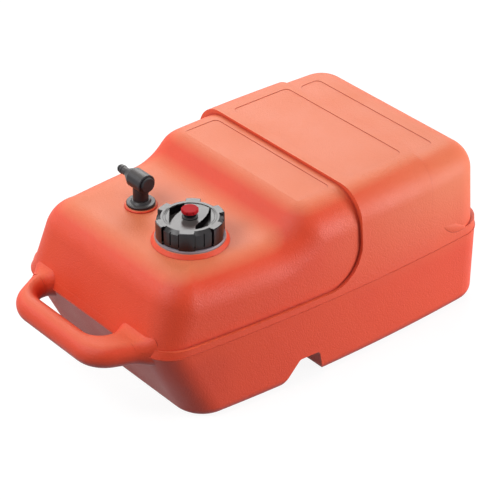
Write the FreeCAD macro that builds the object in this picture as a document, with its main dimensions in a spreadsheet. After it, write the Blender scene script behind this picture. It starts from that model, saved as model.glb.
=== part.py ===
import FreeCAD, Part
import Sketcher
import math
import os
from FreeCAD import Placement, Rotation, Vector

# Portable outboard-motor fuel tank: blow-moulded body with carrying handle, screw cap with
# a vent, and a swivelling pick-up elbow. Frame: +X from the handle to the rear, +Y from the
# filler cap to the pick-up elbow, +Z up, origin under the middle of the tank's footprint.

doc = FreeCAD.newDocument("OutboardFuelTank")

# Driving dimensions: alias, value in millimetres (angles in degrees), what it measures.
DIMENSIONS = [
    ("overallLength", 571.0, "handle nose to the rear lip"),
    ("bodyWidth", 325.0, "widest place at the parting line"),
    ("bandHeight", 225.0, "top of the raised middle band"),
    ("partingHeight", 102.0, "mould parting plane"),
    ("wallThickness", 4.0, "blown wall"),
    ("handleReach", 61.1, "front wall to the handle nose"),
    ("rearLip", 1.2, "parting lip past the rear wall"),
    ("flashRise", 0.5, "parting flash past the side walls"),
    ("flashHeight", 1.4, "parting flash thickness"),
    ("widestFromRear", 195.0, "rear wall to the widest place"),
    ("sideBowRadius", 2400.0, "bow of the side walls in plan"),
    ("frontCornerRadius", 43.0, "front corners in plan"),
    ("rearCornerRadius", 40.0, "rear corners in plan"),
    ("frontCrownRadius", 58.0, "front corners at the top"),
    ("rearCrownRadius", 44.0, "rear corners at the top"),
    ("sectionCornerRadius", 46.0, "corners of the rear section above its foot"),
    ("sectionCrownRadius", 39.5, "corners of the rear section at the top"),
    ("sideDraftAngle", 3.95, "upper side walls off the vertical"),
    ("rearDraftAngle", 0.9, "upper rear wall off the vertical"),
    ("frontLeanAngle", 19.2, "upper front wall off the vertical"),
    ("lowerDraftAngle", 0.7, "lower side and rear walls off the vertical"),
    ("bowAngle", 26.1, "lower front wall off the vertical"),
    ("bandTopRadius", 41.0, "top edges of the band"),
    ("sectionTopRadius", 37.0, "top edges of the rear section"),
    ("frontTopRadius", 46.0, "top edges of the front section"),
    ("bottomRadius", 15.5, "bottom edges"),
    ("bandLength", 116.2, "raised middle band along X"),
    ("rearSectionLength", 98.1, "rear section along X"),
    ("frontInset", 4.7, "front section inside the band"),
    ("frontLedge", 0.15, "front wall inside the parting line"),
    ("stepRise", 9.5, "parting plane to the front section's foot"),
    ("stepCornerRadius", 50.0, "rounded corner of the step at the band"),
    ("rearTopDrop", 5.6, "rear section below the band"),
    ("rearSideInset", 2.0, "rear section inside the band at the top"),
    ("rearWallInset", 4.5, "rear wall inside the parting line"),
    ("rearStepRise", 13.0, "parting plane to the rear section's foot"),
    ("plateauDrop", 34.5, "low front deck with cap and elbow, below the band"),
    ("deckDrop", 4.5, "high front deck below the band"),
    ("slopeFromFront", 174.4, "front wall to the foot of the slope"),
    ("slopeFootRadius", 45.0, "hollow foot of the slope"),
    ("slopeHeadRadius", 42.0, "rounded head of the slope"),
    ("panelWidth", 218.0, "sunk top panels across the tank"),
    ("panelDepth", 0.6, "sunk top panels"),
    ("panelCornerRadius", 8.0, "corners of the sunk panels"),
    ("frontPanelMargin", 9.9, "step to the front panel"),
    ("bandPanelFront", 15.9, "step to the band panel"),
    ("bandPanelRear", 9.8, "band panel to the rear section"),
    ("rearPanelMargin", 10.8, "band to the rear panel"),
    ("rearPanelLength", 32.2, "rear panel along X"),
    ("notchFromRear", 281.3, "rear wall to the strap notch's roof"),
    ("notchHeight", 34.0, "strap notch roof above the floor"),
    ("notchRoof", 30.0, "strap notch roof along X"),
    ("notchFrontRun", 30.0, "front slope of the strap notch"),
    ("notchRearRun", 6.0, "rear slope of the strap notch"),
    ("notchMouthRadius", 14.0, "mouth of the strap notch"),
    ("notchRoofRadius", 6.0, "roof corners of the strap notch"),
    ("handleThickness", 30.6, "handle bar, up and down"),
    ("handleBar", 30.6, "handle bar, along X"),
    ("handleNearReach", 86.5, "middle plane to the handle's near corner"),
    ("handleFarReach", 74.0, "middle plane to the handle's far corner"),
    ("handleNearAngle", 24.0, "handle's near side off the X axis"),
    ("handleFarAngle", 29.0, "handle's far side off the X axis"),
    ("handleCornerRadius", 45.0, "outer corners of the handle"),
    ("flareReach", 20.0, "handle leg's flare along X"),
    ("flareRise", 8.5, "handle leg's flare up the front wall"),
    ("flareDrop", 4.0, "handle leg's flare down the front wall"),
    ("flareSide", 5.0, "handle leg's flare to either side"),
    ("flareInset", 0.3, "start of the flare inside the leg"),
    ("flareCorner", 14.0, "corners of the flare where it starts"),
    ("handleFlat", 0.2, "level strip between the rounded edges of the handle"),
    ("gripWidth", 133.7, "hand opening across the tank"),
    ("gripShift", 6.9, "hand opening off the middle plane"),
    ("gripCornerRadius", 22.0, "corners of the hand opening"),
    ("fillerFromFront", 111.4, "front wall to the filler axis"),
    ("fillerOffset", 57.0, "middle plane to the filler axis"),
    ("collarRadius", 46.7, "moulded collar round the filler"),
    ("collarRise", 1.0, "rim of the collar above the deck"),
    ("collarCrown", 5.2, "seat of the neck ring above the deck"),
    ("collarSeatRadius", 43.2, "seat of the neck ring"),
    ("neckRadius", 31.0, "filler neck outside"),
    ("neckBoreRadius", 26.5, "filler neck inside"),
    ("ringRadius", 42.2, "neck ring"),
    ("ringHeight", 3.2, "neck ring"),
    ("ringDraft", 0.8, "neck ring smaller at its top"),
    ("seatGap", 0.3, "clearance between pieces that seat loosely"),
    ("capGap", 0.4, "cap skirt above the neck ring"),
    ("capRadius", 41.6, "grip lobes of the cap"),
    ("capFacetRadius", 39.7, "cap between the lobes"),
    ("capHeight", 23.2, "cap skirt to rim"),
    ("capShoulder", 4.0, "sloped shoulder between the lobes"),
    ("capRimRadius", 34.6, "flat rim between the lobes"),
    ("lobeAngle", 27.0, "width of one lobe"),
    ("lobeCount", 6, "lobes round the cap"),
    ("lobePhase", 46.0, "first lobe from the X axis"),
    ("ribWidth", 1.8, "grip groove"),
    ("ribDepth", 1.5, "grip groove below the facets"),
    ("ribFoot", 2.6, "plain foot of the skirt below the grooves"),
    ("capDishRadius", 30.6, "sunk disc in the cap top"),
    ("capDishDepth", 0.8, "sunk disc in the cap top"),
    ("fingerPocketDepth", 9.8, "finger pockets below the sunk disc"),
    ("gripAngle", -39.5, "straight walls of the finger pockets, off the Y axis"),
    ("pocketChord", 24.5, "cap axis to a finger pocket's straight wall"),
    ("pocketWall", 18.0, "half the straight wall of a finger pocket"),
    ("pocketTail", 20.3, "narrow end of a finger pocket, along the wall"),
    ("pocketTailIn", 22.5, "narrow end of a finger pocket, off the axis"),
    ("pocketNeck", 21.2, "inner edge of a finger pocket near its narrow end"),
    ("pocketWaist", 17.2, "inner edge of a finger pocket at its middle"),
    ("pocketRise", 2.5, "middle of the inner edge, along the wall"),
    ("pocketHeadIn", 6.9, "wide end of a finger pocket, off the axis"),
    ("pocketHead", 29.0, "wide end of a finger pocket, along the wall"),
    ("pocketHeadOut", 15.5, "outer corner of a finger pocket's wide end"),
    ("capFloor", 2.2, "cap wall below the pockets"),
    ("skirtWall", 2.8, "cap skirt wall"),
    ("sleeveWall", 3.0, "threaded sleeve inside the cap"),
    ("threadClearance", 1.6, "cap sleeve round the neck"),
    ("gasketThickness", 1.8, "cap gasket"),
    ("ventBaseRadius", 9.7, "vent stem foot"),
    ("ventWaistRadius", 7.6, "vent stem waist"),
    ("ventStemRadius", 8.8, "vent stem head"),
    ("ventFoot", 1.2, "rim of the vent stem's foot and head"),
    ("ventWaistLow", 2.4, "vent stem waist, lower end"),
    ("ventWaistHigh", 4.2, "vent stem waist, upper end"),
    ("ventStemHeight", 6.4, "vent stem above the cap's sunk disc"),
    ("ventShankRadius", 6.6, "vent stem through the cap"),
    ("ventSeatThickness", 1.5, "valve seat at the foot of the stem"),
    ("ventSeatRadius", 1.6, "hole in the valve seat"),
    ("ventScrewRadius", 4.3, "vent screw"),
    ("runningFit", 0.08, "radial clearance of turning shafts"),
    ("ventSealThickness", 2.2, "vent seal"),
    ("ventSealGap", 0.15, "vent seal inside the bore"),
    ("knobRadius", 10.3, "vent knob"),
    ("knobThickness", 4.7, "vent knob"),
    ("knobEdge", 0.9, "vent knob's broken edges"),
    ("knobSocketDepth", 3.0, "socket for the vent screw"),
    ("fluteRadius", 1.4, "finger flutes of the vent knob"),
    ("fluteCount", 10, "finger flutes of the vent knob"),
    ("washerThickness", 1.5, "washer under the cap floor"),
    ("nutHeight", 5.0, "vent stem nut"),
    ("nutRadius", 10.0, "vent stem nut over its corners"),
    ("baffleRadius", 12.2, "splash baffle"),
    ("baffleDepth", 8.0, "splash baffle"),
    ("baffleWall", 1.2, "splash baffle"),
    ("baffleSlot", 3.0, "side slots of the splash baffle"),
    ("baffleSlotCount", 4, "side slots of the splash baffle"),
    ("pickupFromFront", 113.4, "front wall to the pick-up axis"),
    ("pickupOffset", 41.5, "middle plane to the pick-up axis"),
    ("bossRadius", 20.0, "moulded boss under the pick-up flange"),
    ("bossRise", 2.5, "moulded boss above the deck"),
    ("flangeRadius", 17.8, "pick-up flange"),
    ("flangeThickness", 2.8, "pick-up flange"),
    ("flangeEdge", 0.8, "broken edge of the pick-up flange"),
    ("flangeGasket", 1.2, "gasket under the pick-up flange"),
    ("hubRadius", 12.8, "foot of the flange hub"),
    ("hubTopRadius", 10.8, "top of the flange hub"),
    ("hubHeight", 2.5, "flange hub"),
    ("shankRadius", 12.2, "threaded shank of the flange"),
    ("shankLength", 14.7, "threaded shank below the flange"),
    ("swivelRadius", 7.5, "swivel bore of the flange"),
    ("elbowStemRadius", 9.5, "elbow stem"),
    ("barrelRise", 28.0, "barrel axis above the flange"),
    ("barrelRadius", 12.2, "elbow barrel"),
    ("barrelEdge", 0.8, "broken edges of barrel, plug and barb"),
    ("barrelFront", 13.3, "pick-up axis to the plugged end"),
    ("barrelRear", 11.5, "pick-up axis to the cone"),
    ("coneLength", 14.0, "cone to the hose barb"),
    ("barbRadius", 5.0, "hose barb shank"),
    ("barbRidgeRadius", 5.6, "hose barb ridge"),
    ("barbReach", 41.5, "pick-up axis to the barb tip"),
    ("barbRidgeEnd", 5.2, "crest of the hose barb to its tip"),
    ("barbLand", 3.2, "level crest of the hose barb"),
    ("barbGroove", 1.4, "groove between the crest and the tip"),
    ("barbTip", 2.2, "rounding of the hose barb's tip"),
    ("fuelwayRadius", 2.6, "fuel passage"),
    ("chamberRadius", 7.5, "valve chamber in the barrel"),
    ("chamberEnd", 12.0, "pick-up axis to the chamber's end"),
    ("plugRadius", 9.4, "end plug"),
    ("plugHead", 3.2, "end plug outside the barrel"),
    ("plugShank", 6.0, "end plug in the chamber"),
    ("plugNoseRadius", 4.5, "nose over the valve spring"),
    ("plugNoseEnd", 6.0, "pick-up axis to the end of the nose"),
    ("ringSection", 0.9, "radius of the O-ring cords"),
    ("ballRadius", 3.6, "check ball"),
    ("ballWayRadius", 4.4, "passage round the check ball"),
    ("ballSeatRadius", 2.6, "hole the check ball closes"),
    ("ballSeatDrop", 22.0, "barrel axis to the ball seat's floor"),
    ("seatInsert", 3.0, "ball seat insert"),
    ("springRadius", 2.8, "valve spring coil"),
    ("springWire", 0.35, "valve spring wire radius"),
    ("springTurns", 5, "valve spring"),
    ("clipRadius", 9.6, "swivel retaining clip"),
    ("clipThickness", 1.2, "swivel retaining clip"),
    ("clipOpening", 6.0, "opening of the retaining clip"),
    ("clipGrooveRadius", 6.2, "groove for the clip"),
    ("nippleRadius", 3.6, "nipple for the pick-up tube"),
    ("nippleLength", 9.0, "nipple for the pick-up tube"),
    ("tubeRadius", 5.0, "pick-up tube"),
    ("tubeWall", 1.3, "pick-up tube"),
    ("strainerRadius", 8.5, "strainer cage"),
    ("strainerHeight", 22.0, "strainer cage"),
    ("strainerWall", 1.4, "strainer cage wall and floor"),
    ("strainerCrown", 5.0, "strainer cage collar round the tube"),
    ("strainerWindow", 8.0, "strainer cage windows"),
    ("strainerWindowCount", 4, "strainer cage windows"),
    ("strainerFloorGap", 3.0, "strainer above the tank floor"),
    ("screenWall", 0.6, "strainer screen"),
]

sheet = doc.addObject("Spreadsheet::Sheet", "Sizes")
for row, (alias, value, note) in enumerate(DIMENSIONS, start=1):
    sheet.set("A%d" % row, note)
    sheet.set("B%d" % row, str(value))
    sheet.setAlias("B%d" % row, alias)
doc.recompute()
size = {alias: float(getattr(sheet, alias)) for alias, value, note in DIMENSIONS}

# Places that follow from the driving dimensions, as formulas of a second sheet.
PLACES = [
    ("plateau", "Sizes.bandHeight - Sizes.plateauDrop"),
    ("frontX", "-Sizes.overallLength / 2 + Sizes.handleReach"),
    ("rearX", "Sizes.overallLength / 2 - Sizes.rearLip"),
    ("fillerX", "frontX + Sizes.fillerFromFront"),
    ("fillerY", "-Sizes.fillerOffset"),
    ("pickupX", "frontX + Sizes.pickupFromFront"),
    ("ringSeat", "plateau + Sizes.collarCrown"),
    ("capSeat", "ringSeat + Sizes.ringHeight + Sizes.capGap"),
    ("dishFloor", "Sizes.capHeight - Sizes.capDishDepth"),
    ("capUnderside", "dishFloor - Sizes.fingerPocketDepth - Sizes.capFloor"),
    ("neckTop", "capSeat + capUnderside - Sizes.gasketThickness"),
    ("nutFoot", "Sizes.washerThickness + Sizes.nutHeight"),
    ("shankDrop", "dishFloor - capUnderside + nutFoot + 2 * Sizes.baffleWall"),
    ("ventSeat", "-shankDrop + Sizes.ventSeatThickness"),
    ("flangeSeat", "plateau + Sizes.bossRise + Sizes.flangeGasket"),
    ("flangeTop", "flangeSeat + Sizes.flangeThickness"),
    ("elbowFoot", "Sizes.hubHeight + Sizes.seatGap"),
    ("spigotFoot", "-Sizes.flangeThickness - Sizes.shankLength - Sizes.seatGap - 2 * Sizes.clipThickness"),
    ("ballSeat", "Sizes.barrelRise - Sizes.ballSeatDrop"),
    ("ballRest", "sqrt(Sizes.ballRadius ^ 2 - Sizes.ballSeatRadius ^ 2) + Sizes.runningFit"),
    ("ballCentre", "ballSeat + Sizes.seatInsert + ballRest"),
    ("springReach", "Sizes.ballRadius + Sizes.springWire + Sizes.runningFit"),
    ("springFoot", "ballCentre + sqrt(springReach ^ 2 - Sizes.springRadius ^ 2)"),
    ("springHead", "Sizes.barrelRise - Sizes.plugNoseRadius - Sizes.springWire - Sizes.runningFit"),
    ("strainerFoot", "Sizes.wallThickness + Sizes.strainerFloorGap"),
]
places = doc.addObject("Spreadsheet::Sheet", "Places")
for row, (alias, formula) in enumerate(PLACES, start=1):
    places.set("A%d" % row, alias)
    places.set("B%d" % row, "=" + formula)
    places.setAlias("B%d" % row, alias)
doc.recompute()
place = {alias: float(getattr(places, alias)) for alias, formula in PLACES}

subparts = []


# ---- shapes drawn with Part's own functions -------------------------------------------------

def roundedOutline(corners, plane):
    """Closed wire through corners (u, v, radius), each rounded by its radius.

    plane maps (u, v) to a point in space."""
    edges = []
    count = len(corners)
    ends = []
    for k, (u, v, radius) in enumerate(corners):
        here = Vector(u, v, 0)
        back = (Vector(*corners[k - 1][:2], 0) - here).normalize()
        ahead = (Vector(*corners[(k + 1) % count][:2], 0) - here).normalize()
        if radius == 0:
            ends.append((here, None, here))
            continue
        half = back.getAngle(ahead) / 2
        reach = radius / math.tan(half)
        middle = here + (back + ahead).normalize() * (radius / math.sin(half) - radius)
        ends.append((here + back * reach, middle, here + ahead * reach))
    for k, (first, middle, last) in enumerate(ends):
        if middle is not None:
            arc = Part.Arc(plane(first), plane(middle), plane(last))
            edges.append(arc.toShape())
        following = ends[(k + 1) % count][0]
        if (following - last).Length > 1e-6:
            edges.append(Part.makeLine(plane(last), plane(following)))
    return Part.Wire(edges)


def tankOutline(level, front, rear, halfWidth, frontRadius, rearRadius, bowRadius):
    """Plan of the tank at one level: straight ends, bowed sides and round corners, all tangent."""
    widest = place["rearX"] - size["widestFromRear"]
    bowCentre = halfWidth - bowRadius

    def corner(centreX, radius):
        centreY = bowCentre + math.sqrt((bowRadius - radius) ** 2 - (centreX - widest) ** 2)
        stretch = bowRadius / (bowRadius - radius)
        touchX = widest + (centreX - widest) * stretch
        touchY = bowCentre + (centreY - bowCentre) * stretch
        return Vector(centreX, centreY, level), Vector(touchX, touchY, level)

    def flipped(point):
        return Vector(point.x, -point.y, point.z)

    def cornerArc(centre, radius, first, last):
        middle = centre + ((first + last) * 0.5 - centre).normalize() * radius
        return Part.Arc(first, middle, last).toShape()

    rearCentre, rearTouch = corner(rear - rearRadius, rearRadius)
    frontCentre, frontTouch = corner(front + frontRadius, frontRadius)
    rearEnd = Vector(rear, rearCentre.y, level)
    frontEnd = Vector(front, frontCentre.y, level)
    side = Vector(widest, halfWidth, level)
    return Part.Wire([
        Part.makeLine(flipped(rearEnd), rearEnd),
        cornerArc(rearCentre, rearRadius, rearEnd, rearTouch),
        Part.Arc(rearTouch, side, frontTouch).toShape(),
        cornerArc(frontCentre, frontRadius, frontTouch, frontEnd),
        Part.makeLine(frontEnd, flipped(frontEnd)),
        cornerArc(flipped(frontCentre), frontRadius, flipped(frontEnd), flipped(frontTouch)),
        Part.Arc(flipped(frontTouch), flipped(side), flipped(rearTouch)).toShape(),
        cornerArc(flipped(rearCentre), rearRadius, flipped(rearTouch), flipped(rearEnd)),
    ])


# Edges are picked by their place to within this many millimetres.
NEAR = 1.0


def lean(angle, height):
    return math.tan(math.radians(size[angle])) * height


def upperForm(top, frontIn, rearIn, sideIn, topSideIn, rear="rear"):
    """Upper half of the tank between the parting plane and a flat top, its walls leaning inwards.

    rear names the corner radii of the rear end."""
    rise = top - size["partingHeight"]
    full = size["bandHeight"] - size["partingHeight"]
    half = size["bodyWidth"] / 2
    bow = size["sideBowRadius"]
    base = tankOutline(size["partingHeight"], place["frontX"] + frontIn, place["rearX"] - rearIn,
                       half - sideIn, size["frontCornerRadius"] - sideIn,
                       size[rear + "CornerRadius"] - sideIn, bow - sideIn)
    crown = tankOutline(top, place["frontX"] + frontIn + lean("frontLeanAngle", rise),
                        place["rearX"] - rearIn - lean("rearDraftAngle", rise),
                        half - sideIn - topSideIn * rise / full - lean("sideDraftAngle", rise),
                        size["frontCrownRadius"] - sideIn, size[rear + "CrownRadius"] - sideIn,
                        bow - sideIn)
    return Part.makeLoft([base, crown], True, True)


def lowerForm(inset, floor):
    """Lower tub from the parting plane down to a floor, with a raked bow."""
    drop = size["partingHeight"] - floor
    half = size["bodyWidth"] / 2 - inset
    bow = size["sideBowRadius"] - inset
    corners = (size["frontCornerRadius"] - inset, size["rearCornerRadius"] - inset)
    rim = tankOutline(size["partingHeight"], place["frontX"] + inset, place["rearX"] - inset, half,
                      *corners, bow)
    foot = tankOutline(floor, place["frontX"] + inset + lean("bowAngle", drop),
                       place["rearX"] - inset - lean("lowerDraftAngle", drop),
                       half - lean("lowerDraftAngle", drop), *corners, bow)
    tub = Part.makeLoft([foot, rim], True, True)
    radius = size["bottomRadius"] - min(inset, size["bottomRadius"] / 2)
    edges = [edge for edge in tub.Edges if edge.BoundBox.ZMax < floor + NEAR]
    return tub.makeFillet(radius, edges)


def acrossTank(face):
    return face.extrude(Vector(0, 2 * size["bodyWidth"], 0))


def sideView(u, v):
    return Vector(u, -size["bodyWidth"], v)


def deckProfile(inset):
    """Side view under the front deck: low plateau, S-shaped slope and high deck."""
    low = place["plateau"] - inset
    high = size["bandHeight"] - size["deckDrop"] - inset
    foot = size["slopeFootRadius"] + inset
    head = size["slopeHeadRadius"] - inset
    turn = math.acos(1 - (high - low) / (foot + head))
    start = place["frontX"] + size["slopeFromFront"]
    join = Vector(start + foot * math.sin(turn), 0, low + foot * (1 - math.cos(turn)))
    end = start + (foot + head) * math.sin(turn)
    footMiddle = sideView(start + foot * math.sin(turn / 2), low + foot * (1 - math.cos(turn / 2)))
    headMiddle = sideView(end - head * math.sin(turn / 2), high - head * (1 - math.cos(turn / 2)))
    beyond = size["overallLength"]
    base = size["partingHeight"] - size["wallThickness"]
    path = [sideView(-beyond, low), sideView(start, low), sideView(join.x, join.z), sideView(end, high),
            sideView(beyond, high), sideView(beyond, base), sideView(-beyond, base)]
    edges = [
        Part.makeLine(path[0], path[1]),
        Part.Arc(path[1], footMiddle, path[2]).toShape(),
        Part.Arc(path[2], headMiddle, path[3]).toShape(),
        Part.makeLine(path[3], path[4]),
        Part.makeLine(path[4], path[5]),
        Part.makeLine(path[5], path[6]),
        Part.makeLine(path[6], path[0]),
    ]
    return Part.Face(Part.Wire(edges))


def rimEdges(shape, above):
    """Edges between the top faces and the walls: all high edges but those that cross from side to side."""
    found = []
    for edge in shape.Edges:
        box = edge.BoundBox
        straightAcross = box.XLength < NEAR and box.YLength > size["bodyWidth"] / 2
        inside = (box.XMin > place["frontX"] + size["slopeFromFront"] - NEAR
                  and box.XMax < place["rearX"] - size["rearSectionLength"] / 2)
        if box.ZMin > above and not (straightAcross and inside):
            found.append(edge)
    return found


def frontForm(inset):
    """Front section under the decks; also the tank's inside when inset by the wall."""
    sideIn = size["frontInset"] + inset
    frontIn = size["frontLedge"] + inset
    rearIn = size["frontInset"] + inset
    block = upperForm(size["bandHeight"], frontIn, rearIn, sideIn, 0, "front")
    deck = block.common(acrossTank(deckProfile(inset)))
    edges = rimEdges(deck, place["plateau"] - inset - NEAR)
    return deck.makeFillet(size["frontTopRadius"] - inset, edges)


def stepRegion():
    """Space above the step line and ahead of the middle band, with the step's rounded corner."""
    step = place["rearX"] - size["rearSectionLength"] - size["bandLength"]
    foot = size["partingHeight"] + size["stepRise"]
    top = 2 * size["bandHeight"]
    far = -size["overallLength"]
    corners = [(far, foot, 0), (step, foot, size["stepCornerRadius"]), (step, top, 0), (far, top, 0)]
    return acrossTank(Part.Face(roundedOutline(corners, lambda p: sideView(p.x, p.y))))


def boxBetween(low, high):
    span = high - low
    return Part.makeBox(span.x, span.y, span.z, low)


def notchFace(inset):
    """Side view of the strap notch in the tank's bottom, grown by inset."""
    roofRear = place["rearX"] - size["notchFromRear"]
    roofFront = roofRear - size["notchRoof"]
    mouthFront = roofFront - size["notchFrontRun"]
    mouthRear = roofRear + size["notchRearRun"]
    margin = 2 * size["notchMouthRadius"]
    corners = [
        (mouthFront - margin, -margin, 0), (mouthFront - margin, 0, 0),
        (mouthFront, 0, size["notchMouthRadius"]),
        (roofFront, size["notchHeight"], size["notchRoofRadius"]),
        (roofRear, size["notchHeight"], size["notchRoofRadius"]),
        (mouthRear, 0, size["notchMouthRadius"]),
        (mouthRear + margin, 0, 0), (mouthRear + margin, -margin, 0),
    ]
    face = Part.Face(roundedOutline(corners, lambda p: sideView(p.x, p.y)))
    return face.makeOffset2D(inset) if inset else face


def sunkPanel(front, rear, top):
    radius = size["panelCornerRadius"]
    half = size["panelWidth"] / 2
    floor = top - size["panelDepth"]
    corners = [(front, -half, radius), (rear, -half, radius), (rear, half, radius), (front, half, radius)]
    face = Part.Face(roundedOutline(corners, lambda p: Vector(p.x, p.y, floor)))
    return face.extrude(Vector(0, 0, size["bandHeight"]))


def handleForm():
    """Flat loop with fully rounded edges; its sides flare towards the tank's corners."""
    nose = -size["overallLength"] / 2
    root = place["frontX"] + size["frontCornerRadius"] / 2
    near, far = size["handleNearReach"], size["handleFarReach"]
    nearRoot = near + lean("handleNearAngle", root - nose)
    farRoot = far + lean("handleFarAngle", root - nose)
    radius = size["handleCornerRadius"]
    bottom = size["partingHeight"] - size["handleThickness"] / 2
    outer = [(nose, -near, radius), (root, -nearRoot, 0), (root, farRoot, 0), (nose, far, radius)]
    gripHalf = size["gripWidth"] / 2
    gripFront = nose + size["handleBar"]
    gripRear = root + size["handleBar"]
    shift = size["gripShift"]
    inner = [(gripFront, shift - gripHalf, size["gripCornerRadius"]), (gripRear, shift - gripHalf, 0),
             (gripRear, shift + gripHalf, 0), (gripFront, shift + gripHalf, size["gripCornerRadius"])]
    edgeRadius = min(size["handleThickness"], size["handleBar"]) / 2 - size["handleFlat"]

    def plate(corners):
        face = Part.Face(roundedOutline(corners, lambda p: Vector(p.x, p.y, bottom)))
        return face.extrude(Vector(0, 0, size["handleThickness"]))

    def rounded(block, first):
        """Rounds the level edges between x = first and the root."""
        level = [edge for edge in block.Edges if edge.BoundBox.ZLength < NEAR]
        ahead = [edge for edge in level if first < edge.BoundBox.XMin < root - NEAR]
        return block.makeFillet(edgeRadius, ahead)

    # The outer and the inner edge are rounded on blocks of their own: the bar keeps no flat between them.
    wide = nearRoot + farRoot
    ahead = nose - radius
    frame = plate([(ahead, -wide, 0), (root, -wide, 0), (root, wide, 0), (ahead, wide, 0)]).cut(plate(inner))
    return rounded(plate(outer), ahead).common(rounded(frame, nose + NEAR))


# Sections of the handle legs' flare: shares of its reach, of its rise and drop, and of its side.
FLARE = ((0, 0, 0), (0.22, 0.03, 0.11), (0.4, 0.11, 0.35), (0.55, 0.21, 0.62), (0.7, 0.37, 0.83),
         (0.86, 0.61, 0.95), (1, 1, 1))


def legFlare(side, reach, angle):
    """Flare of one handle leg into the front wall; side is -1 for the near leg and 1 for the far one."""
    nose = -size["overallLength"] / 2
    start = place["frontX"] + lean("frontLeanAngle", size["handleThickness"]) - size["flareReach"]
    inner = side * size["gripShift"] + size["gripWidth"] / 2
    low = size["partingHeight"] - size["handleThickness"] / 2 + size["flareInset"]
    high = size["partingHeight"] + size["handleThickness"] / 2 - size["flareInset"]
    wires = []
    for along, upward, sideways in FLARE:
        x = start + along * size["flareReach"]
        grown = sideways * size["flareSide"] - size["flareInset"]
        first = side * (inner - grown)
        last = side * (size[reach] + lean(angle, x - nose) + grown)
        bottom = low - upward * size["flareDrop"]
        top = high + upward * size["flareRise"]
        radius = min(size["flareCorner"], abs(last - first) / 2 - NEAR)
        corners = [(first, bottom, radius), (last, bottom, radius), (last, top, radius), (first, top, radius)]
        wires.append(roundedOutline(corners, lambda p: Vector(x, p.x, p.y)))
    return Part.makeLoft(wires, True, False)


def turned(points, centre):
    """Solid of revolution about the vertical axis through centre; points are (radius, height)."""
    wire = Part.makePolygon([centre + Vector(r, 0, z) for r, z in points + points[:1]])
    return Part.Face(wire).revolve(centre, Vector(0, 0, 1), 360)


def topEdges(shape, top):
    return [edge for edge in shape.Edges if edge.BoundBox.ZMin > top - NEAR]


def tankBody():
    top = size["bandHeight"]
    parting = size["partingHeight"]
    step = place["rearX"] - size["rearSectionLength"] - size["bandLength"]
    rearSection = place["rearX"] - size["rearSectionLength"]
    far = size["overallLength"]

    band = upperForm(top, 0, 0, 0, 0)
    band = band.makeFillet(size["bandTopRadius"], topEdges(band, top))
    rearTop = top - size["rearTopDrop"]
    rear = upperForm(rearTop, 0, size["rearWallInset"], -size["flashRise"],
                     size["rearSideInset"] + size["flashRise"], "section")
    rear = rear.makeFillet(size["sectionTopRadius"], topEdges(rear, rearTop))
    rearFoot = Vector(rearSection, -far, parting + size["rearStepRise"])
    rearRegion = boxBetween(rearFoot, Vector(far, far, 2 * top))

    outer = band.cut(stepRegion().cut(frontForm(0)))
    outer = outer.cut(rearRegion.cut(rear))
    outer = outer.fuse(lowerForm(0, 0))

    half = size["bodyWidth"] / 2 + size["flashRise"]
    flash = tankOutline(parting - size["flashHeight"] / 2, place["frontX"] - size["flashRise"],
                        place["rearX"] + size["rearLip"], half, size["frontCornerRadius"] + size["flashRise"],
                        size["rearCornerRadius"] + size["rearLip"], size["sideBowRadius"])
    outer = outer.fuse(Part.Face(flash).extrude(Vector(0, 0, size["flashHeight"])))
    outer = outer.fuse([handleForm(), legFlare(-1, "handleNearReach", "handleNearAngle"),
                        legFlare(1, "handleFarReach", "handleFarAngle")])

    deck = place["plateau"]
    below = deck - size["wallThickness"] / 2
    filler = Vector(place["fillerX"], place["fillerY"], 0)
    collarRim = deck + size["collarRise"] / 2
    collar = turned([(0, below), (size["collarRadius"], below), (size["collarRadius"], collarRim),
                     (size["collarSeatRadius"], place["ringSeat"]), (size["neckRadius"], place["ringSeat"]),
                     (size["neckRadius"], place["neckTop"]), (0, place["neckTop"])], filler)
    pickup = Vector(place["pickupX"], size["pickupOffset"], 0)
    bossTop = deck + size["bossRise"]
    bossEdge = size["collarRise"]
    boss = turned([(0, below), (size["bossRadius"], below), (size["bossRadius"], bossTop - bossEdge),
                   (size["bossRadius"] - bossEdge, bossTop), (0, bossTop)], pickup)
    outer = outer.fuse([collar, boss])

    panelRear = step - size["frontPanelMargin"]
    frontPanel = sunkPanel(panelRear - size["bandLength"] / 2, panelRear, top - size["deckDrop"])
    bandPanel = sunkPanel(step + size["bandPanelFront"], rearSection - size["bandPanelRear"], top)
    rearStart = rearSection + size["rearPanelMargin"]
    rearPanel = sunkPanel(rearStart, rearStart + size["rearPanelLength"], rearTop)
    outer = outer.cut([frontPanel, bandPanel, rearPanel, acrossTank(notchFace(0))])

    wall = size["wallThickness"]
    inside = frontForm(wall).fuse(lowerForm(size["frontInset"] + wall, wall))
    inside = inside.cut(acrossTank(notchFace(wall)))
    bore = Part.makeCylinder(size["neckBoreRadius"], far, filler + Vector(0, 0, parting))
    shankHole = Part.makeCylinder(size["shankRadius"] + size["seatGap"], far, pickup + Vector(0, 0, parting))
    return outer.cut([inside, bore, shankHole]).removeSplitter()


body = doc.addObject("Part::Feature", "TankBody")
body.Label = "tank_body"
body.Shape = tankBody()
body.Placement = Placement(Vector(0, 0, 0), Rotation())
subparts.append(body)


# ---- shapes made as bodies, bound to the sheets ----------------------------------------------

def datumPlane(owner, role):
    return next(feature for feature in owner.Origin.OriginFeatures if feature.Role == role)


def objectName(label):
    return "".join(word.capitalize() for word in label.split("_"))


def placed(feature, x="0", y="0", z="0"):
    """Ties a feature's position to the sheets."""
    for axis, formula in (("x", x), ("y", y), ("z", z)):
        feature.setExpression("Placement.Base." + axis, formula)
    return feature


def subpart(feature, x="0", y="0", z="0"):
    placed(feature, x, y, z)
    subparts.append(feature)
    return feature


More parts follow.
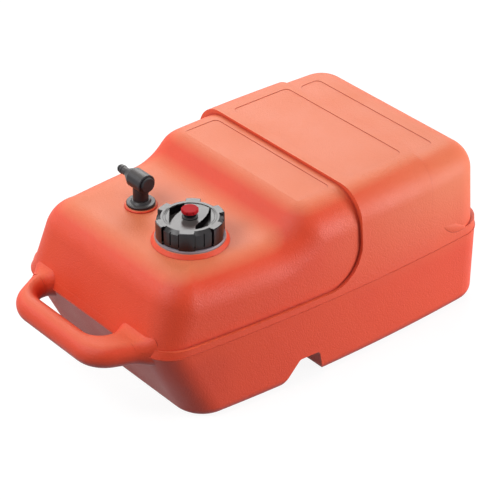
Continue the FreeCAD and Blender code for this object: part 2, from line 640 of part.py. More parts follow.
def newBody(label):
    made = doc.addObject("PartDesign::Body", objectName(label))
    made.Label = label
    return made


def outlineSketch(owner, name, role, corners, rise="0", shift="0", turn=0.0):
    """Closed sketch of straight sides; every corner (u, v) is a pair of sheet formulas.

    rise lifts the sketch off its plane, shift moves it along its own vertical axis, turn rotates it."""
    sketch = owner.newObject("Sketcher::SketchObject", name)
    sketch.AttachmentSupport = [(datumPlane(owner, role), "")]
    sketch.MapMode = "FlatFace"
    sketch.AttachmentOffset = Placement(Vector(0, 0, 0), Rotation(Vector(0, 0, 1), turn))
    sketch.setExpression(".AttachmentOffset.Base.z", rise)
    sketch.setExpression(".AttachmentOffset.Base.y", shift)
    count = len(corners)
    # A wide regular polygon to start from: the bound constraints then carry each corner to its place.
    start = []
    for k in range(count):
        angle = 2 * math.pi * k / count
        start.append(Vector(60 + 40 * math.cos(angle), 60 + 40 * math.sin(angle), 0))
    for k in range(count):
        sketch.addGeometry(Part.LineSegment(start[k], start[(k + 1) % count]), False)
    for k in range(count):
        sketch.addConstraint(Sketcher.Constraint("Coincident", k, 2, (k + 1) % count, 1))
    for k, (u, v) in enumerate(corners):
        for kind, formula, value in (("DistanceX", u, start[k].x), ("DistanceY", v, start[k].y)):
            number = sketch.addConstraint(Sketcher.Constraint(kind, -1, 1, k, 1, value))
            sketch.setExpression("Constraints[%d]" % number, formula)
    return sketch


def turning(owner, name, corners, role="XZ_Plane", axis="V_Axis", shift="0", cutting=False):
    """Revolution, or groove, of a profile about an axis of its own sketch."""
    sketch = outlineSketch(owner, name + "Outline", role, corners, shift=shift)
    feature = owner.newObject("PartDesign::Groove" if cutting else "PartDesign::Revolution", name)
    feature.Profile = sketch
    feature.ReferenceAxis = (sketch, [axis])
    feature.Angle = 360.0
    doc.recompute()
    return feature


def turnedBody(label, corners, x, y, z):
    """Plain turned piece about its own vertical axis."""
    made = newBody(label)
    turning(made, objectName(label) + "Turning", corners)
    return subpart(made, x, y, z)


def pattern(owner, name, feature, count):
    """Repeats a feature round the body's vertical axis; count is a sheet formula."""
    ring = owner.newObject("PartDesign::PolarPattern", name)
    ring.Originals = [feature]
    ring.Axis = (datumPlane(owner, "Z_Axis"), [""])
    ring.Angle = 360
    ring.setExpression("Occurrences", count)
    owner.Tip = ring
    doc.recompute()
    return ring


def cutter(owner, kind, name, sizes, offset=Placement()):
    """Subtractive primitive on the body's base plane; sizes are sheet formulas."""
    feature = owner.newObject("PartDesign::Subtractive" + kind, name)
    for prop, formula in sizes.items():
        feature.setExpression(prop, formula)
    feature.AttachmentSupport = [(datumPlane(owner, "XY_Plane"), "")]
    feature.MapMode = "FlatFace"
    feature.AttachmentOffset = offset
    doc.recompute()
    return feature


def roundRing(label, ringRadius, section, x, y, z, rotation=Rotation()):
    """O-ring: a torus bound to the sheets."""
    ring = doc.addObject("Part::Torus", objectName(label))
    ring.Label = label
    ring.setExpression("Radius1", ringRadius)
    ring.setExpression("Radius2", section)
    ring.Placement = Placement(Vector(0, 0, 0), rotation)
    return subpart(ring, x, y, z)


FILLER = ("Places.fillerX", "Places.fillerY")
PICKUP = ("Places.pickupX", "Sizes.pickupOffset")
UPRIGHT = Vector(0, 0, 1)


# ---- filler: neck ring, cap and gasket -------------------------------------------------------

turnedBody("neck_ring", [
    ("Sizes.neckRadius + Sizes.seatGap", "0"),
    ("Sizes.ringRadius", "0"),
    ("Sizes.ringRadius", "Sizes.ringHeight / 2"),
    ("Sizes.ringRadius - Sizes.ringDraft", "Sizes.ringHeight"),
    ("Sizes.neckRadius + Sizes.seatGap", "Sizes.ringHeight"),
], *FILLER, "Places.ringSeat")

turnedBody("cap_gasket", [
    ("Sizes.neckBoreRadius", "0"),
    ("Sizes.neckRadius", "0"),
    ("Sizes.neckRadius", "Sizes.gasketThickness"),
    ("Sizes.neckBoreRadius", "Sizes.gasketThickness"),
], *FILLER, "Places.neckTop")

# The cap is turned first: skirt, threaded sleeve, floor and a rim with a sloped shoulder.
cap = newBody("cap_shell")
SLEEVE_IN = "Sizes.neckRadius + Sizes.threadClearance"
SLEEVE_OUT = SLEEVE_IN + " + Sizes.sleeveWall"
SKIRT_IN = "Sizes.capFacetRadius - Sizes.skirtWall"
turning(cap, "CapTurning", [
    ("0", "Places.capUnderside"),
    (SLEEVE_IN, "Places.capUnderside"),
    (SLEEVE_IN, "Sizes.seatGap"),
    (SLEEVE_OUT, "Sizes.seatGap"),
    (SLEEVE_OUT, "Places.capUnderside"),
    (SKIRT_IN, "Places.capUnderside"),
    (SKIRT_IN, "0"),
    ("Sizes.capFacetRadius", "0"),
    ("Sizes.capFacetRadius", "Sizes.capHeight - Sizes.capShoulder"),
    ("Sizes.capRimRadius", "Sizes.capHeight"),
    ("Sizes.capDishRadius", "Sizes.capHeight"),
    ("Sizes.capDishRadius", "Sizes.capHeight - Sizes.capDishDepth"),
    ("0", "Sizes.capHeight - Sizes.capDishDepth"),
])
# One raised lobe, a short piece of revolution, repeated round the skirt.
LOBE_IN = "Sizes.capFacetRadius - Sizes.skirtWall / 2"
LOBE_RIM = "Sizes.capDishRadius + Sizes.skirtWall / 2"
lobe = turning(cap, "Lobe", [
    (LOBE_IN, "0"),
    ("Sizes.capRadius", "0"),
    ("Sizes.capRadius", "Sizes.capHeight - Sizes.capDishDepth"),
    ("Sizes.capRadius - Sizes.capDishDepth", "Sizes.capHeight"),
    (LOBE_RIM, "Sizes.capHeight"),
    (LOBE_RIM, "Sizes.capHeight - Sizes.capShoulder"),
    (LOBE_IN, "Sizes.capHeight - Sizes.capShoulder"),
])
lobe.setExpression("Angle", "Sizes.lobeAngle")
lobe.Midplane = True
pattern(cap, "Lobes", lobe, "Sizes.lobeCount")
# Grip grooves: one at each edge of a lobe and one halfway between two lobes.
lobePitch = 360 / size["lobeCount"]
for number, angle in enumerate((size["lobeAngle"] / 2, lobePitch / 2, lobePitch - size["lobeAngle"] / 2)):
    corner = Vector(size["capFacetRadius"] - size["ribDepth"], -size["ribWidth"] / 2, size["ribFoot"])
    groove = cutter(cap, "Box", "GripGroove%d" % number, {
        "Length": "Sizes.ribDepth + 2 * (Sizes.capRadius - Sizes.capFacetRadius)",
        "Width": "Sizes.ribWidth",
        "Height": "Sizes.capHeight",
    }, Placement(Vector(0, 0, 0), Rotation(UPRIGHT, angle)).multiply(Placement(corner, Rotation())))
    pattern(cap, "GripGrooves%d" % number, groove, "Sizes.lobeCount")
# Two finger pockets, point-symmetric about the axis, and the hole for the vent stem.
CHORD = "-Sizes.pocketChord"
fingerPocket = cap.newObject("PartDesign::Pocket", "FingerPocket")
fingerPocket.Profile = outlineSketch(cap, "FingerPocketOutline", "XY_Plane", [
    (CHORD, "-Sizes.pocketWall"),
    ("-Sizes.pocketTailIn", "-Sizes.pocketTail"),
    ("-Sizes.pocketNeck", "-Sizes.pocketTail * 2 / 5"),
    ("-Sizes.pocketWaist", "Sizes.pocketRise"),
    ("-Sizes.pocketHeadIn", "Sizes.pocketTail"),
    ("-Sizes.pocketHeadIn", "Sizes.pocketHead"),
    ("-Sizes.pocketHeadOut", "(Sizes.pocketHead + Sizes.pocketTail * 2 / 5) * 7 / 10"),
    ("-Sizes.pocketNeck", "Sizes.pocketTail + Sizes.capDishDepth"),
    (CHORD, "Sizes.pocketWall"),
], rise="Sizes.capHeight", turn=size["gripAngle"] - size["lobePhase"])
fingerPocket.setExpression("Length", "Sizes.capDishDepth + Sizes.fingerPocketDepth")
doc.recompute()
pattern(cap, "FingerPockets", fingerPocket, "2")
cutter(cap, "Cylinder", "VentStemHole", {
    "Radius": "Sizes.ventShankRadius + Sizes.seatGap",
    "Height": "Sizes.capHeight",
})
cap.Placement = Placement(Vector(0, 0, 0), Rotation(UPRIGHT, size["lobePhase"]))
subpart(cap, *FILLER, "Places.capSeat")


# ---- vent: stem, valve pad, screw, knob and the pieces under the cap -------------------------

DISH = "Places.capSeat + Places.dishFloor"
CAP_FLOOR = "Places.capSeat + Places.capUnderside"
VENT_BORE = "Sizes.ventScrewRadius + Sizes.runningFit"
turnedBody("vent_stem", [
    ("Sizes.ventSeatRadius", "-Places.shankDrop"),
    ("Sizes.ventShankRadius", "-Places.shankDrop"),
    ("Sizes.ventShankRadius", "0"),
    ("Sizes.ventBaseRadius", "0"),
    ("Sizes.ventBaseRadius", "Sizes.ventFoot"),
    ("Sizes.ventWaistRadius", "Sizes.ventWaistLow"),
    ("Sizes.ventWaistRadius", "Sizes.ventWaistHigh"),
    ("Sizes.ventStemRadius", "Sizes.ventStemHeight - Sizes.ventFoot"),
    ("Sizes.ventStemRadius", "Sizes.ventStemHeight"),
    (VENT_BORE, "Sizes.ventStemHeight"),
    (VENT_BORE, "Places.ventSeat"),
    ("Sizes.ventSeatRadius", "Places.ventSeat"),
], *FILLER, DISH)

turnedBody("vent_seal", [
    ("0", "0"),
    (VENT_BORE + " - Sizes.ventSealGap", "0"),
    (VENT_BORE + " - Sizes.ventSealGap", "Sizes.ventSealThickness"),
    ("0", "Sizes.ventSealThickness"),
], *FILLER, DISH + " + Places.ventSeat")

turnedBody("vent_screw", [
    ("0", "Places.ventSeat + Sizes.ventSealThickness"),
    ("Sizes.ventScrewRadius", "Places.ventSeat + Sizes.ventSealThickness"),
    ("Sizes.ventScrewRadius", "Sizes.ventStemHeight + Sizes.seatGap + Sizes.knobSocketDepth"),
    ("0", "Sizes.ventStemHeight + Sizes.seatGap + Sizes.knobSocketDepth"),
], *FILLER, DISH)

knob = newBody("vent_knob")
turning(knob, "KnobTurning", [
    (VENT_BORE, "0"),
    ("Sizes.knobRadius - Sizes.knobEdge", "0"),
    ("Sizes.knobRadius", "Sizes.knobEdge"),
    ("Sizes.knobRadius", "Sizes.knobThickness - Sizes.knobEdge"),
    ("Sizes.knobRadius - Sizes.knobEdge", "Sizes.knobThickness"),
    ("0", "Sizes.knobThickness"),
    ("0", "Sizes.knobSocketDepth"),
    (VENT_BORE, "Sizes.knobSocketDepth"),
])
flutePlace = Vector(size["knobRadius"] + size["fluteRadius"] / 2, 0, 0)
flute = cutter(knob, "Cylinder", "Flute", {"Radius": "Sizes.fluteRadius", "Height": "Sizes.knobThickness"},
               Placement(flutePlace, Rotation()))
pattern(knob, "Flutes", flute, "Sizes.fluteCount")
subpart(knob, *FILLER, DISH + " + Sizes.ventStemHeight + Sizes.seatGap")

turnedBody("vent_washer", [
    ("Sizes.ventShankRadius + Sizes.seatGap", "-Sizes.washerThickness"),
    ("Sizes.nutRadius", "-Sizes.washerThickness"),
    ("Sizes.nutRadius", "0"),
    ("Sizes.ventShankRadius + Sizes.seatGap", "0"),
], *FILLER, CAP_FLOOR)

nutBlank = doc.addObject("Part::Prism", "NutBlank")
nutBlank.Polygon = 6
nutBlank.setExpression("Circumradius", "Sizes.nutRadius")
nutBlank.setExpression("Height", "Sizes.nutHeight")
nutThread = doc.addObject("Part::Cylinder", "NutThread")
nutThread.setExpression("Radius", "Sizes.ventShankRadius + Sizes.runningFit")
nutThread.setExpression("Height", "Sizes.nutHeight")
nut = doc.addObject("Part::Cut", "VentNut")
nut.Label = "vent_nut"
nut.Base = nutBlank
nut.Tool = nutThread
subpart(nut, *FILLER, CAP_FLOOR + " - Places.nutFoot")

baffle = newBody("vent_baffle")
turning(baffle, "BaffleTurning", [
    ("Sizes.ventShankRadius + Sizes.runningFit", "0"),
    ("Sizes.baffleRadius", "0"),
    ("Sizes.baffleRadius", "-Sizes.baffleDepth"),
    ("0", "-Sizes.baffleDepth"),
    ("0", "Sizes.baffleWall - Sizes.baffleDepth"),
    ("Sizes.baffleRadius - Sizes.baffleWall", "Sizes.baffleWall - Sizes.baffleDepth"),
    ("Sizes.baffleRadius - Sizes.baffleWall", "-Sizes.baffleWall"),
    ("Sizes.ventShankRadius + Sizes.runningFit", "-Sizes.baffleWall"),
])
slotPlace = Vector(0, -size["baffleSlot"] / 2, size["baffleWall"] - size["baffleDepth"])
slot = cutter(baffle, "Box", "VentSlot", {
    "Length": "Sizes.baffleRadius + Sizes.baffleWall",
    "Width": "Sizes.baffleSlot",
    "Height": "Sizes.baffleSlot",
}, Placement(slotPlace, Rotation()))
pattern(baffle, "VentSlots", slot, "Sizes.baffleSlotCount")
subpart(baffle, *FILLER, CAP_FLOOR + " - Places.nutFoot")


# ---- pick-up: gasket, flange, swivelling elbow with its check valve --------------------------

turnedBody("flange_gasket", [
    ("Sizes.shankRadius + Sizes.seatGap", "-Sizes.flangeGasket"),
    ("Sizes.flangeRadius - Sizes.flangeEdge", "-Sizes.flangeGasket"),
    ("Sizes.flangeRadius - Sizes.flangeEdge", "0"),
    ("Sizes.shankRadius + Sizes.seatGap", "0"),
], *PICKUP, "Places.flangeSeat")

SHANK_FOOT = "-Sizes.flangeThickness - Sizes.shankLength"
turnedBody("pickup_flange", [
    ("Sizes.swivelRadius", SHANK_FOOT),
    ("Sizes.shankRadius", SHANK_FOOT),
    ("Sizes.shankRadius", "-Sizes.flangeThickness"),
    ("Sizes.flangeRadius", "-Sizes.flangeThickness"),
    ("Sizes.flangeRadius", "-Sizes.flangeEdge"),
    ("Sizes.flangeRadius - Sizes.flangeEdge", "0"),
    ("Sizes.hubRadius", "0"),
    ("Sizes.hubTopRadius", "Sizes.hubHeight"),
    ("Sizes.swivelRadius", "Sizes.hubHeight"),
], *PICKUP, "Places.flangeTop")

SPIGOT = "Sizes.swivelRadius - Sizes.runningFit"
CLIP_TOP = SHANK_FOOT + " - Sizes.seatGap"
CLIP_FOOT = CLIP_TOP + " - Sizes.clipThickness"
SEAL_HALF = "Sizes.ringSection + Sizes.runningFit"
SEAL_MIDDLE = "-Sizes.flangeThickness"
SEAL_FLOOR = "Sizes.swivelRadius - 2 * (" + SEAL_HALF + ")"
elbow = newBody("elbow_body")
turning(elbow, "Stem", [
    ("0", "Places.spigotFoot - Sizes.nippleLength"),
    ("Sizes.nippleRadius", "Places.spigotFoot - Sizes.nippleLength"),
    ("Sizes.nippleRadius", "Places.spigotFoot"),
    (SPIGOT, "Places.spigotFoot"),
    (SPIGOT, CLIP_FOOT + " - Sizes.runningFit"),
    ("Sizes.clipGrooveRadius", CLIP_FOOT + " - Sizes.runningFit"),
    ("Sizes.clipGrooveRadius", CLIP_TOP + " + Sizes.runningFit"),
    (SPIGOT, CLIP_TOP + " + Sizes.runningFit"),
    (SPIGOT, SEAL_MIDDLE + " - (" + SEAL_HALF + ")"),
    (SEAL_FLOOR, SEAL_MIDDLE + " - (" + SEAL_HALF + ")"),
    (SEAL_FLOOR, SEAL_MIDDLE + " + " + SEAL_HALF),
    (SPIGOT, SEAL_MIDDLE + " + " + SEAL_HALF),
    (SPIGOT, "Places.elbowFoot"),
    ("Sizes.elbowStemRadius", "Places.elbowFoot"),
    ("Sizes.elbowStemRadius", "Sizes.barrelRise"),
    ("0", "Sizes.barrelRise"),
])
CONE_END = "Sizes.barrelRear + Sizes.coneLength"
RIDGE_END = "Sizes.barbReach - Sizes.barbRidgeEnd"
turning(elbow, "Barrel", [
    ("-Sizes.barrelFront", "0"),
    ("-Sizes.barrelFront", "Sizes.barrelRadius - Sizes.barrelEdge"),
    ("-Sizes.barrelFront + Sizes.barrelEdge", "Sizes.barrelRadius"),
    ("Sizes.barrelRear", "Sizes.barrelRadius"),
    (CONE_END, "Sizes.barbRadius"),
    (RIDGE_END + " - Sizes.barbLand - Sizes.barrelEdge", "Sizes.barbRadius"),
    (RIDGE_END + " - Sizes.barbLand", "Sizes.barbRidgeRadius"),
    (RIDGE_END, "Sizes.barbRidgeRadius"),
    (RIDGE_END, "Sizes.barbRadius - Sizes.barrelEdge"),
    (RIDGE_END + " + Sizes.barbGroove", "Sizes.barbRadius - Sizes.barrelEdge"),
    (RIDGE_END + " + Sizes.barbGroove", "Sizes.barbRadius"),
    ("Sizes.barbReach - Sizes.barbTip", "Sizes.barbRadius"),
    ("Sizes.barbReach", "Sizes.fuelwayRadius + Sizes.barrelEdge"),
    ("Sizes.barbReach", "0"),
], role="YZ_Plane", axis="H_Axis", shift="Sizes.barrelRise")
turning(elbow, "ValveChamber", [
    ("-Sizes.barrelFront", "0"),
    ("-Sizes.barrelFront", "Sizes.chamberRadius"),
    ("Sizes.chamberEnd", "Sizes.chamberRadius"),
    ("Sizes.chamberEnd", "Sizes.fuelwayRadius"),
    ("Sizes.barbReach", "Sizes.fuelwayRadius"),
    ("Sizes.barbReach", "0"),
], role="YZ_Plane", axis="H_Axis", shift="Sizes.barrelRise", cutting=True)
turning(elbow, "Riser", [
    ("0", "Places.spigotFoot - Sizes.nippleLength"),
    ("Sizes.fuelwayRadius", "Places.spigotFoot - Sizes.nippleLength"),
    ("Sizes.fuelwayRadius", "Places.ballSeat"),
    ("Sizes.ballWayRadius", "Places.ballSeat"),
    ("Sizes.ballWayRadius", "Sizes.barrelRise"),
    ("0", "Sizes.barrelRise"),
], cutting=True)
subpart(elbow, *PICKUP, "Places.flangeTop")

roundRing("swivel_o_ring", SPIGOT + " - Sizes.ringSection", "Sizes.ringSection",
          *PICKUP, "Places.flangeTop + " + SEAL_MIDDLE)

clip = newBody("swivel_clip")
turning(clip, "ClipTurning", [
    ("Sizes.clipGrooveRadius + Sizes.runningFit", CLIP_FOOT),
    ("Sizes.clipRadius", CLIP_FOOT),
    ("Sizes.clipRadius", CLIP_TOP),
    ("Sizes.clipGrooveRadius + Sizes.runningFit", CLIP_TOP),
])
clipGap = Vector(0, -size["clipOpening"] / 2, place["spigotFoot"])
cutter(clip, "Box", "ClipOpening", {
    "Length": "2 * Sizes.clipRadius",
    "Width": "Sizes.clipOpening",
    "Height": "3 * Sizes.clipThickness",
}, Placement(clipGap, Rotation()))
subpart(clip, *PICKUP, "Places.flangeTop")

PLUG_SEAL = "-Sizes.barrelFront + Sizes.plugShank / 2"
PLUG_FACE = "-Sizes.barrelFront - Sizes.plugHead"
PLUG_SHANK = "Sizes.chamberRadius - Sizes.runningFit"
PLUG_FLOOR = "Sizes.chamberRadius - 2 * (" + SEAL_HALF + ")"
plug = newBody("end_plug")
turning(plug, "PlugTurning", [
    (PLUG_FACE, "0"),
    (PLUG_FACE, "Sizes.plugRadius - Sizes.barrelEdge"),
    (PLUG_FACE + " + Sizes.barrelEdge", "Sizes.plugRadius"),
    ("-Sizes.barrelFront", "Sizes.plugRadius"),
    ("-Sizes.barrelFront", PLUG_SHANK),
    (PLUG_SEAL + " - (" + SEAL_HALF + ")", PLUG_SHANK),
    (PLUG_SEAL + " - (" + SEAL_HALF + ")", PLUG_FLOOR),
    (PLUG_SEAL + " + " + SEAL_HALF, PLUG_FLOOR),
    (PLUG_SEAL + " + " + SEAL_HALF, PLUG_SHANK),
    ("-Sizes.barrelFront + Sizes.plugShank", PLUG_SHANK),
    ("-Sizes.barrelFront + Sizes.plugShank", "Sizes.plugNoseRadius"),
    ("Sizes.plugNoseEnd", "Sizes.plugNoseRadius"),
    ("Sizes.plugNoseEnd", "0"),
], role="YZ_Plane", axis="H_Axis", shift="Sizes.barrelRise")
subpart(plug, *PICKUP, "Places.flangeTop")

roundRing("plug_o_ring", PLUG_SHANK + " - Sizes.ringSection", "Sizes.ringSection",
          "Places.pickupX", "Sizes.pickupOffset + " + PLUG_SEAL, "Places.flangeTop + Sizes.barrelRise",
          Rotation(Vector(1, 0, 0), 90))

turnedBody("valve_seat", [
    ("Sizes.ballSeatRadius", "0"),
    ("Sizes.ballWayRadius - Sizes.runningFit", "0"),
    ("Sizes.ballWayRadius - Sizes.runningFit", "Sizes.seatInsert"),
    ("Sizes.ballSeatRadius", "Sizes.seatInsert"),
], *PICKUP, "Places.flangeTop + Places.ballSeat")

ball = doc.addObject("Part::Sphere", "CheckBall")
ball.Label = "check_ball"
ball.setExpression("Radius", "Sizes.ballRadius")
subpart(ball, *PICKUP, "Places.flangeTop + Places.ballCentre")


def valveSpring():
    """Compression spring between the ball and the plug's nose, wound upwards from its foot."""
    height = place["springHead"] - place["springFoot"]
    path = Part.makeHelix(height / size["springTurns"], height, size["springRadius"])
    section = Part.makeCircle(size["springWire"], Vector(size["springRadius"], 0, 0), Vector(0, 1, 0))
    return Part.Wire(path).makePipeShell([Part.Wire(section)], True, True)


spring = doc.addObject("Part::Feature", "CheckSpring")
spring.Label = "check_spring"
spring.Shape = valveSpring()
spring.Placement = Placement(Vector(0, 0, 0), Rotation())
subpart(spring, *PICKUP, "Places.flangeTop + Places.springFoot")


# ---- pick-up tube and strainer inside the tank -----------------------------------------------

CAGE_CROWN = "Sizes.strainerHeight - Sizes.strainerCrown"
TUBE_TOP = "Places.flangeTop + Places.spigotFoot - Sizes.seatGap - Places.strainerFoot"
turnedBody("pickup_tube", [
    ("Sizes.tubeRadius - Sizes.tubeWall", CAGE_CROWN),
    ("Sizes.tubeRadius", CAGE_CROWN),
    ("Sizes.tubeRadius", TUBE_TOP),
    ("Sizes.tubeRadius - Sizes.tubeWall", TUBE_TOP),
], *PICKUP, "Places.strainerFoot")

TUBE_WAY = "Sizes.tubeRadius + Sizes.runningFit"
CAGE_IN = "Sizes.strainerRadius - Sizes.strainerWall"
cage = newBody("strainer_cage")
turning(cage, "CageTurning", [
    ("0", "0"),
    ("Sizes.strainerRadius", "0"),
    ("Sizes.strainerRadius", CAGE_CROWN + " + Sizes.strainerWall"),
    (TUBE_WAY + " + Sizes.strainerWall", "Sizes.strainerHeight"),
    (TUBE_WAY, "Sizes.strainerHeight"),
    (TUBE_WAY, CAGE_CROWN),
    (CAGE_IN, CAGE_CROWN),
    (CAGE_IN, "Sizes.strainerWall"),
    ("0", "Sizes.strainerWall"),
])
windowPlace = Vector(0, -size["strainerWindow"] / 2, 2 * size["strainerWall"])
window = cutter(cage, "Box", "Window", {
    "Length": "2 * Sizes.strainerRadius",
    "Width": "Sizes.strainerWindow",
    "Height": CAGE_CROWN + " - 3 * Sizes.strainerWall",
}, Placement(windowPlace, Rotation()))
pattern(cage, "Windows", window, "Sizes.strainerWindowCount")
subpart(cage, *PICKUP, "Places.strainerFoot")

SCREEN_OUT = CAGE_IN + " - Sizes.runningFit"
turnedBody("strainer_screen", [
    (SCREEN_OUT + " - Sizes.screenWall", "Sizes.strainerWall"),
    (SCREEN_OUT, "Sizes.strainerWall"),
    (SCREEN_OUT, CAGE_CROWN),
    (SCREEN_OUT + " - Sizes.screenWall", CAGE_CROWN),
], *PICKUP, "Places.strainerFoot")


# ---- check everything, then write one STEP file per piece ------------------------------------

doc.recompute()
for feature in doc.Objects:
    if "Invalid" in feature.State or "Error" in feature.State:
        raise RuntimeError("%s failed: %s" % (feature.Name, feature.State))
for feature in subparts:
    if feature.Shape.isNull() or not feature.Shape.isValid() or len(feature.Shape.Solids) != 1:
        raise RuntimeError("%s has no sound single solid" % feature.Label)

os.makedirs("parts", exist_ok=True)
for feature in subparts:
    feature.Shape.exportStep("parts/%s.step" % feature.Label)
    box = feature.Shape.BoundBox
    print("%-16s %10.1f mm3  z %7.2f %7.2f" % (feature.Label, feature.Shape.Volume, box.ZMin, box.ZMax))
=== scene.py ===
import math

import bmesh
import bpy
import numpy as np
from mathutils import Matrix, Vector


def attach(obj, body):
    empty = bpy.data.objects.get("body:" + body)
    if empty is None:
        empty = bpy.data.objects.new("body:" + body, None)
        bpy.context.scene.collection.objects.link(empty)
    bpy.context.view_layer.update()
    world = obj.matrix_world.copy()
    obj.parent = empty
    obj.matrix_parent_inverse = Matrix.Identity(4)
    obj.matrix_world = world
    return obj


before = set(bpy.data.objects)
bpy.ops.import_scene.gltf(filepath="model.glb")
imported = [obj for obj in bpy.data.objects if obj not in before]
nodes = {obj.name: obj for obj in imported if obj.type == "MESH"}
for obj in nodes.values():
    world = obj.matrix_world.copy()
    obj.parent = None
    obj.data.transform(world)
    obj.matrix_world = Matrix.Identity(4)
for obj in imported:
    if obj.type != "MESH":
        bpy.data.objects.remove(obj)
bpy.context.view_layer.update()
print("frame loaded:", len(nodes), "nodes")


# meshes from rings of points

def addObject(name, data):
    holder = bpy.data.objects.new(name, data)
    bpy.context.scene.collection.objects.link(holder)
    return holder


def ringFaces(rings, corners):
    # quads between each ring of points and the next one, numbered ring by ring
    ring, corner = np.meshgrid(np.arange(rings - 1), np.arange(corners), indexing="ij")
    following = (corner + 1) % corners
    quads = [ring * corners + corner, ring * corners + following,
             (ring + 1) * corners + following, (ring + 1) * corners + corner]
    return np.stack([quad.ravel() for quad in quads], axis=1)


def newBar(name, points, body, slotName):
    # a closed bar: each row of points is a ring, and the first and the last ring are filled
    rings, corners = points.shape[:2]
    faces = ringFaces(rings, corners).tolist()
    faces.append(list(range(corners))[::-1])
    faces.append(list(range((rings - 1) * corners, rings * corners)))
    mesh = bpy.data.meshes.new(name)
    mesh.from_pydata(points.reshape(-1, 3).tolist(), [], faces)
    shape = bmesh.new()
    shape.from_mesh(mesh)
    bmesh.ops.recalc_face_normals(shape, faces=shape.faces)
    shape.to_mesh(mesh)
    shape.free()
    mesh.polygons.foreach_set("use_smooth", np.ones(len(mesh.polygons), dtype=bool))
    mesh.materials.append(finishes[slotName])
    piece = addObject(name, mesh)
    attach(piece, body)


# parts of the materials' node trees

def newMaterial(name):
    material = bpy.data.materials.new(name)
    material.use_nodes = True
    tree = material.node_tree
    tree.nodes.clear()
    output = tree.nodes.new("ShaderNodeOutputMaterial")
    shader = tree.nodes.new("ShaderNodeBsdfPrincipled")
    tree.links.new(shader.outputs["BSDF"], output.inputs["Surface"])
    return material, tree, shader


def feed(tree, socket, value):
    # a socket takes another node's output or a plain value
    if isinstance(value, bpy.types.NodeSocket):
        tree.links.new(value, socket)
    else:
        socket.default_value = value


def addNode(tree, kind, settings=(), **sockets):
    node = tree.nodes.new(kind)
    for key, value in dict(settings).items():
        setattr(node, key, value)
    for key, value in sockets.items():
        feed(tree, node.inputs[key], value)
    return node


def objectPlace(tree):
    return addNode(tree, "ShaderNodeTexCoord").outputs["Object"]


def noise(tree, place, scale, detail=3.0, roughness=0.55):
    return addNode(tree, "ShaderNodeTexNoise", Vector=place, Scale=scale, Detail=detail,
                   Roughness=roughness).outputs["Fac"]


def spread(tree, value, fromLow, fromHigh, toLow, toHigh):
    # a straight change of range, held at both ends
    ramp = addNode(tree, "ShaderNodeMapRange", Value=value)
    for index, limit in enumerate((fromLow, fromHigh, toLow, toHigh), start=1):
        ramp.inputs[index].default_value = limit
    return ramp.outputs["Result"]


def calculated(tree, operation, first, second):
    maths = addNode(tree, "ShaderNodeMath", {"operation": operation})
    feed(tree, maths.inputs[0], first)
    feed(tree, maths.inputs[1], second)
    return maths.outputs[0]


def facingUp(tree):
    return addNode(tree, "ShaderNodeSeparateXYZ",
                   Vector=addNode(tree, "ShaderNodeNewGeometry").outputs["Normal"]).outputs["Z"]


def blendColours(tree, share, first, second):
    # the colour inputs of this node share their names, so they go by number
    mix = addNode(tree, "ShaderNodeMix", {"data_type": "RGBA"})
    for index, value in ((0, share), (6, first), (7, second)):
        feed(tree, mix.inputs[index], value)
    return mix.outputs[2]


def bumps(tree, layers):
    # each layer is (height, strength, depth in metres), the first one at the bottom
    normal = None
    for height, strength, depth in layers:
        bump = addNode(tree, "ShaderNodeBump", Height=height, Strength=strength, Distance=depth)
        if normal is not None:
            tree.links.new(normal, bump.inputs["Normal"])
        normal = bump.outputs["Normal"]
    return normal


# the red skin of the blown tank, with shares from 0 to 1, places and heights in metres

redSkin = {
    "red": (0.760, 0.056, 0.014, 1.0),
    "warm": (0.780, 0.068, 0.020, 1.0),
    "patchScale": 14.0,
    "patchEdge": (0.35, 0.65),
    # the next colour is a painted sheen on the faces that look up and on the sides high on the rear half
    "paintedSheen": (0.800, 0.198, 0.085, 1.0),
    "paintedSheenFacing": (0.76, 0.995),
    "paintedSheenHeight": (0.125, 0.180),
    "paintedSheenLow": 0.45,
    "rearSheenShare": 0.80,
    "rearSheenPlace": (0.00, 0.22),
    "rearSheenHeight": (0.085, 0.180),
    # the next colour is painted shade on the undersides and the low front end
    "paintedShade": (0.290, 0.016, 0.014, 1.0),
    "underShadeShare": 0.85,
    "underShadeFacing": (-0.50, -0.07),
    "frontShadeShare": 0.38,
    "frontShadePlace": (-0.245, -0.110),
    "frontShadeHeight": (0.078, 0.104),
    # the next colour is painted shade in the grooves, along the step and at the foot of the collar
    "creaseShade": (0.340, 0.012, 0.008, 1.0),
    "creaseShadeShare": 0.8,
    "creaseShadeOpen": (0.45, 0.92),
    "creaseShadeReach": 0.005,
    "creaseShadeSamples": 8,
    "grainScale": 560.0,
    "grainBump": (0.60, 0.0009),
    "waveScale": 9.0,
    "waveBump": (0.25, 0.003),
    "gloss": 0.50,
    "rough": (0.50, 0.60),
    "roughEdge": (0.3, 0.7),
}


